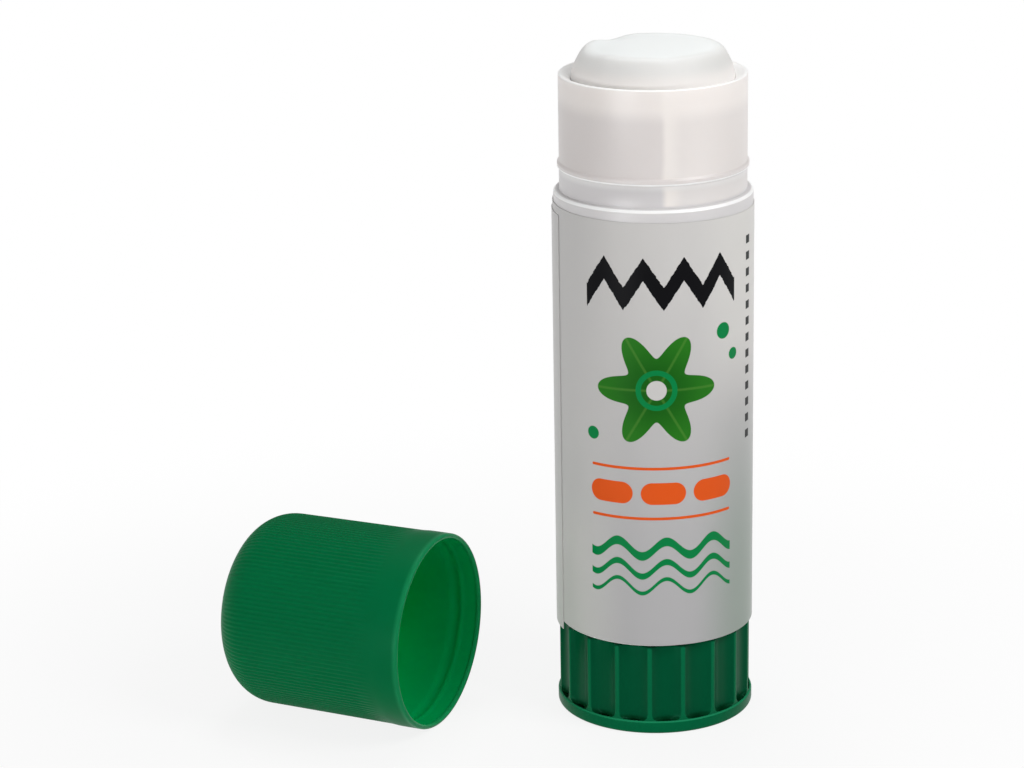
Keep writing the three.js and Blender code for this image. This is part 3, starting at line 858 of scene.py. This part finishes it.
class GLUESTICK_OT_label(bpy.types.Operator):
    """Model the label: a strip of film drawn once round the barrel, a little askew, with its end lapped"""

    bl_idname = "gluestick.label"
    bl_label = "Label"

    def execute(self, context):
        size = context.scene.glue_stick.label
        whole = 2 * math.pi + size.lap
        step = whole / size.steps
        start = size.seam - whole
        lap_rise = math.radians(4)
        radius = size.inner_radius + size.thickness / 2
        stand_ready()
        bpy.ops.mesh.primitive_plane_add(size=1, location=(0, 0, 0), calc_uvs=False)
        piece = name_piece("label_film")
        bpy.ops.object.mode_set(mode="EDIT")
        select_all()
        bpy.ops.transform.resize(value=(size.thickness, size.top - size.bottom, 1), center_override=(0, 0, 0))
        stand_piece(
            piece, (math.pi / 2, 0, start - math.pi / 2),
            (radius * math.sin(start), -radius * math.cos(start), (size.bottom + size.top) / 2),
        )
        bpy.ops.mesh.select_mode(type="FACE")
        select_all()
        risen = 0.0
        for k in range(1, size.steps + 1):
            extrude_by(0, 0, -size.skew / size.steps)
            # The tool turns the other way without a window
            bpy.ops.transform.rotate(value=-step, orient_axis="Z", orient_type="GLOBAL", center_override=(0, 0, 0))
            last_risen = risen
            risen = min(max((k * step - 2 * math.pi) / lap_rise, 0.0), 1.0)
            rise = size.lift * (risen - last_risen)
            if rise:
                azimuth = start + k * step
                move_by(rise * math.sin(azimuth), -rise * math.cos(azimuth), 0)
        bpy.ops.mesh.select_mode(type="VERT")
        finish_piece(piece, "barrel", ["label"], label_material(size), 30)
        return {"FINISHED"}


class GLUESTICK_OT_knob(bpy.types.Operator):
    """Model the base knob: rounded flange, flutes between narrow ridges, spigot and hollow"""

    bl_idname = "gluestick.knob"
    bl_label = "Base knob"

    def execute(self, context):
        size = context.scene.glue_stick.knob
        flange, ledge, grip, grip_top = size.flange_radius, size.flange_thickness, size.grip_radius, size.grip_top
        foot_round, ledge_round = 0.5 * MM, 0.28 * MM
        spigot, top = size.spigot_radius, size.spigot_top
        web, hollow, post, socket = 1.8 * MM, spigot - 1.3 * MM, 4.95 * MM, 3.35 * MM
        outline = [(0, 0)]
        outline += arc(flange - foot_round, foot_round, foot_round, foot_round, -90, 0, 6)
        outline += arc(flange - ledge_round, ledge - ledge_round, ledge_round, ledge_round, 0, 90, 5)
        first_wall = len(outline) - 1
        # Height of each ring of the grip, and how far the rounded top edge lies in from the wall there
        walls = [(ledge + up * MM, 0.0) for up in (0.0, 0.05, 0.12, 0.22, 0.36, 0.55, 0.8, 1.15, 1.6)]
        walls += [(ledge + (grip_top - ledge) * share, 0.0) for share in (0.35, 0.65)]
        walls += [
            (grip_top - down * MM, inward * MM)
            for down, inward in ((0.3, 0), (0.2, 0.02), (0.09, 0.08), (0.02, 0.18), (0, 0.3))
        ]
        outline += [(grip, height) for height, inward in walls]
        outline += [(spigot, grip_top), *steps_from(spigot, top, (0, -0.2), (-0.2, 0))]
        outline += [(hollow, top), (hollow, web), (post, web), (post, top), (socket, top), (socket, web), (0, web)]
        piece, rings = draw_wall("knob_grip", size.flutes * size.columns, outline)

        pitch = 2 * math.pi / size.flutes
        half_column = pitch / size.columns / 2
        half_width = (pitch * grip - size.ridge_width) / 2

        def flute_wall(above, inward):
            """The depth for each azimuth: a flute is narrower near its foot, and its sides run out softly."""
            corner, soft = size.flute_corner, 0.02 * MM
            narrower = corner - math.sqrt(corner ** 2 - (corner - above) ** 2) if above < corner else 0.0

            def depth_at(azimuth):
                along = (azimuth - half_column) % pitch - pitch / 2
                share = abs(along) * grip / (half_width - narrower)
                depth = size.flute_depth * (1 - min(share, 1.3) ** 2.8)
                return inward + (soft * math.log(1 + math.exp(depth / soft)) if depth < 8 * soft else depth)

            return depth_at

        for ring, (height, inward) in zip(rings[first_wall:], walls):
            shape_ring(ring, flute_wall(height - ledge, inward))

        # The flange dips towards the foot of each flute, deepest in the flute's middle
        def dip_of(place):
            share = (grip - math.hypot(place.x, place.y)) / size.flute_depth
            return round(min(max(share * 1.6, 0.0), 1.0), 3)

        for dip, indices in sort_points(rings[first_wall], dip_of):
            if dip > 0.03:
                select_points(indices)
                move_by(0, 0, -size.gutter * dip)
        stand_piece(piece, (0, 0, size.ridge_azimuth - half_column))
        finish_piece(piece, "knob", ["base_knob"], knob_material(size), 32)
        return {"FINISHED"}


class GLUESTICK_OT_glue(bpy.types.Operator):
    """Model the glue: foot in the carrier, blind bore over the screw, and a soft worn top"""

    bl_idname = "gluestick.glue"
    bl_label = "Glue"

    def execute(self, context):
        size = context.scene.glue_stick.glue
        rim = context.scene.glue_stick.barrel.rim
        bore, bore_top = 4.3 * MM, 95.7 * MM
        hub_room, hub_top = 6.5 * MM, 36.9 * MM
        cup_room, cup_top = 11.35 * MM, 35.9 * MM
        outline = [
            (0, bore_top + 0.2 * MM), (bore, bore_top), (bore, hub_top), (hub_room, hub_top),
            (hub_room, size.foot), (cup_room, size.foot), (cup_room, cup_top), (size.radius, cup_top),
            (size.radius, rim - 1.5 * MM),
        ]
        outline += steps_from(
            0, rim, (12.05, -0.3), (12.0, 0.1), (11.9, 0.5), (11.75, 0.95), (11.53, 1.5), (11.22, 2.15),
            (10.9, 2.75), (10.6, 3.2), (10.4, 3.45), (10.2, 3.63), (9.95, 3.76), (9.65, 3.84),
        )
        outline += [
            (size.edge_radius * share, size.top - 0.16 * MM * share ** 2)
            for share in (0.95, 0.88, 0.8, 0.7, 0.6, 0.48, 0.36, 0.24, 0.12)
        ]
        piece = draw_wall("glue_stick", size.sides, [*outline, (0, size.top)])[0]

        # Uneven wear: the left and front of the top lie lower, and small hollows mark it
        for x, y, depth, reach in (
            (-6.3, 7.4, 1.7, 4.0), (-10.2, -2.0, 1.2, 6.5), (-9.0, -6.0, 0.9, 4.0),
            (9.8, -3.5, 0.7, 3.5), (2.0, -10.0, 0.5, 3.0), (-10.4, 0.6, 0.8, 1.2),
        ):
            select_none()
            mesh = open_mesh()
            nearest = min(
                (point for point in mesh.verts if point.co.z > rim + 1.0 * MM),
                key=lambda point: math.hypot(point.co.x - x * MM, point.co.y - y * MM),
            )
            nearest.select = True
            bmesh.update_edit_mesh(piece.data)
            move_by(
                0, 0, -size.wear * depth, use_proportional_edit=True, use_proportional_connected=True,
                proportional_edit_falloff="SMOOTH", proportional_size=reach * MM,
            )
        finish_piece(piece, "glue", ["glue_core"], glue_material(size), 60)
        return {"FINISHED"}


class GLUESTICK_OT_cap(bpy.types.Operator):
    """Model the cap: closed rounded end, fine ribs that fade out, plain band, lip and snap groove"""

    bl_idname = "gluestick.cap"
    bl_label = "Cap"

    def execute(self, context):
        size = context.scene.glue_stick.cap
        crest = size.radius - 0.1 * MM
        corner_wall = crest - 0.1 * MM
        corner_middle, corner_start = corner_wall - size.corner, size.length - size.corner
        inner_end = size.length - size.end_wall
        bore, rib_fade, columns = 14.1 * MM, 3.2 * MM, 6
        outline = [(0, size.length), (corner_middle * 0.5, size.length)]
        outline += arc(corner_middle, corner_start, size.corner, size.corner, 90, 0, 18)
        # How deep the ribs are on each ring: they run out up the rounded corner and at the plain band
        rib_depths = {1 + k: math.cos(math.radians(1.5 * (90 - 5 * k))) ** 0.7 for k in range(7, 19)}
        for height in (20.0 * MM, 12.0 * MM, *(size.band + up * MM for up in (3.2, 2.2, 1.2, 0.5))):
            rib_depths[len(outline) - 1] = min(1.0, (height - size.band) / rib_fade)
            share = (height - size.band) / (corner_start - size.band)
            outline.append((crest + (corner_wall - crest) * share, height))
        outline += steps_from(crest, size.band, (0.01, 0))
        outline += steps_from(size.radius, size.band, (-0.05, -0.5), (-0.01, -1.0), (0, -1.5))
        half_lip = (size.radius - size.lip_radius) / 2
        outline += arc(size.radius - half_lip, half_lip * 1.3, half_lip, half_lip * 1.3, 0, -90, 6)
        outline += arc(size.lip_radius + half_lip, half_lip, -half_lip, half_lip, -90, 0, 5)[1:]
        # The ledge and the snap groove, out from the cap's bore and up from its mouth
        outline += [(size.lip_radius, 0.55 * MM)] + steps_from(
            bore, 0, (0.28, 0.75), (0.28, 2.5), (0.2, 2.75), (0.1, 3.0), (0.07, 3.2), (0.1, 3.4), (0.2, 3.65),
            (0.26, 3.9), (0.26, 4.3), (0.2, 4.6), (0.1, 4.9), (0.02, 5.2), (0, 5.5), (0, 17.6),
        )
        outline += arc(corner_middle, corner_start, size.corner - 1.2 * MM, size.corner - size.end_wall, 0, 90, 12)
        outline += [(corner_middle * 0.5, inner_end), (0, inner_end)]
        piece, rings = draw_wall("cap_shell", size.ribs * columns, outline)

        for index, strength in rib_depths.items():
            def depth_at(azimuth, depth=size.rib_depth * strength):
                groove = 0.5 - 0.5 * math.cos(size.ribs * azimuth)
                return depth * groove ** 0.8

            shape_ring(rings[index], depth_at)
        stand_piece(piece, (0, -math.pi / 2, -size.turn), (size.mouth_x, size.mouth_y, size.radius + 0.01 * MM))
        finish_piece(piece, "cap", ["cap"], cap_material(size), 40)
        return {"FINISHED"}


class GLUESTICK_OT_inner_parts(bpy.types.Operator):
    """Give the frame's feed screw and carrier their plain white plastic"""

    bl_idname = "gluestick.inner_parts"
    bl_label = "Feed screw and carrier"

    def execute(self, context):
        white = inner_material()
        for name in ("feed_screw", "carrier"):
            piece = frame["nodes"][name]
            for slot in piece.material_slots:
                slot.material = white
            if not piece.material_slots:
                raise RuntimeError(f"the frame's {name} has no material slot")
        return {"FINISHED"}


class GLUESTICK_OT_stage(bpy.types.Operator):
    """Set up the pale floor, the soft studio light and the camera"""

    bl_idname = "gluestick.stage"
    bl_label = "Stage"

    def execute(self, context):
        scene = context.scene
        size = scene.glue_stick.stage
        stand_ready()
        bpy.ops.mesh.primitive_plane_add(size=9, location=(0, 0, -0.02 * MM), calc_uvs=False)
        floor = bpy.context.object
        floor.name = "studio_floor"
        apply_transform()
        floor.data.materials.append(self.floor_material(size.floor))

        self.light("key_light", (0.18, -0.11, 0.25), (0, 0, 0.07), 0.14, 0.14, 0.49)
        self.light("fill_light", (-0.34, -0.49, 0.045), (-0.03, 0, 0.02), 0.3, 0.08, 1.08)
        self.light("top_light", (-0.02, 0.12, 0.40), (0, 0, 0.10), 0.14, 0.14, 0.34)

        scene.world = bpy.data.worlds.new("Studio")
        self.world_nodes(scene.world)
        scene.view_settings.view_transform = "Standard"

        stand_ready()
        turn = Matrix.Rotation(size.camera_yaw, 3, "Z") @ Matrix.Rotation(math.pi / 2 - size.camera_pitch, 3, "X")
        turn = turn @ Matrix.Rotation(-size.camera_roll, 3, "Z")
        bpy.ops.object.camera_add(location=(0, -size.distance, size.camera_height), rotation=turn.to_euler())
        camera = bpy.context.object
        camera.name = "photo_camera"
        camera.data.lens = size.lens
        camera.data.clip_start = 0.01
        camera.data.clip_end = 20.0
        scene.camera = camera
        return {"FINISHED"}

    def light(self, name, place, target, width, height, watts):
        """A soft rectangular light that looks at its target and isn't seen itself."""
        bpy.ops.object.light_add(type="AREA", location=place)
        lamp = name_piece(name)
        lamp.data.shape = "RECTANGLE"
        lamp.data.size = width
        lamp.data.size_y = height
        lamp.data.energy = watts
        lamp.visible_camera = False
        x, y, z = (t - p for t, p in zip(target, place))
        lamp.rotation_euler = (math.atan2(math.hypot(x, y), -z), 0, math.atan2(y, x) - math.pi / 2)

    def floor_material(self, tone):
        """Pale floor that shows nearly white to the camera and keeps a soft shadow."""
        material, shader, place = new_material("Pale floor")
        tree = material.node_tree
        shade = paint(tone, (times(noise(place, 40.0, 2.0), 0.02), linear(240, 240, 240)))
        feed(shader, {"Base Color": shade, "Roughness": 0.9, "Specular IOR Level": 0.1})
        rays = add_node("ShaderNodeLightPath", {}, tree).outputs
        seen = either(rays["Is Camera Ray"], rays["Is Glossy Ray"], rays["Is Transmission Ray"])
        glow = add_node("ShaderNodeEmission", {"Color": (1, 1, 1, 1), "Strength": 1.0}, tree).outputs["Emission"]
        middle = (-0.025, -0.005, 0.0)
        far = add_node("ShaderNodeVectorMath", {0: place, 1: middle}, operation="DISTANCE").outputs["Value"]
        share = times(seen, times_plus(fade(far, 0.035, 0.15), 0.14, 0.86))
        mixed = add_node("ShaderNodeMixShader", {0: share, 1: shader.outputs["BSDF"], 2: glow}).outputs["Shader"]
        feed(next(node for node in tree.nodes if node.type == "OUTPUT_MATERIAL"), {"Surface": mixed})
        return material

    def world_nodes(self, world):
        """Even pale light, and white behind everything that the camera sees."""
        world.use_nodes = True
        tree = world.node_tree
        tree.nodes.clear()
        rays = add_node("ShaderNodeLightPath", {}, tree).outputs
        seen = either(rays["Is Camera Ray"], rays["Is Transmission Ray"])
        direction = add_node("ShaderNodeTexCoord", {}, tree).outputs["Generated"]
        softer_right = times_plus(split(direction)["X"], -0.17, 0.34)
        strength = add_node("ShaderNodeMapRange", {"Value": seen, "To Min": softer_right, "To Max": 1.0}).outputs[0]
        sky = add_node("ShaderNodeBackground", {"Color": (1, 1, 1, 1), "Strength": strength})
        add_node("ShaderNodeOutputWorld", {"Surface": sky.outputs["Background"]})


class GLUESTICK_PT_panel(bpy.types.Panel):
    """Lists the pieces of the glue stick and their sizes"""

    bl_idname = "GLUESTICK_PT_panel"
    bl_label = "Glue Stick"
    bl_space_type = "VIEW_3D"
    bl_region_type = "UI"
    bl_category = "Glue Stick"

    def draw(self, context):
        for piece in GlueStickSettings.__annotations__:
            box = self.layout.box()
            box.operator(f"gluestick.{piece}")
            settings = getattr(context.scene.glue_stick, piece)
            for field in settings.__annotations__:
                box.prop(settings, field)
        self.layout.operator("gluestick.inner_parts")


CLASSES = (
    BarrelSettings,
    LabelSettings,
    KnobSettings,
    GlueSettings,
    CapSettings,
    StageSettings,
    GlueStickSettings,
    GLUESTICK_OT_barrel,
    GLUESTICK_OT_label,
    GLUESTICK_OT_knob,
    GLUESTICK_OT_glue,
    GLUESTICK_OT_cap,
    GLUESTICK_OT_inner_parts,
    GLUESTICK_OT_stage,
    GLUESTICK_PT_panel,
)


def register():
    for part in CLASSES:
        bpy.utils.register_class(part)
    bpy.types.Scene.glue_stick = PointerProperty(type=GlueStickSettings)


def unregister():
    del bpy.types.Scene.glue_stick
    for part in reversed(CLASSES):
        bpy.utils.unregister_class(part)


def main():
    register()
    bpy.ops.gluestick.barrel()
    bpy.ops.gluestick.label()
    bpy.ops.gluestick.knob()
    bpy.ops.gluestick.glue()
    bpy.ops.gluestick.cap()
    bpy.ops.gluestick.inner_parts()
    bpy.ops.gluestick.stage()


if __name__ == "__main__":
    main()
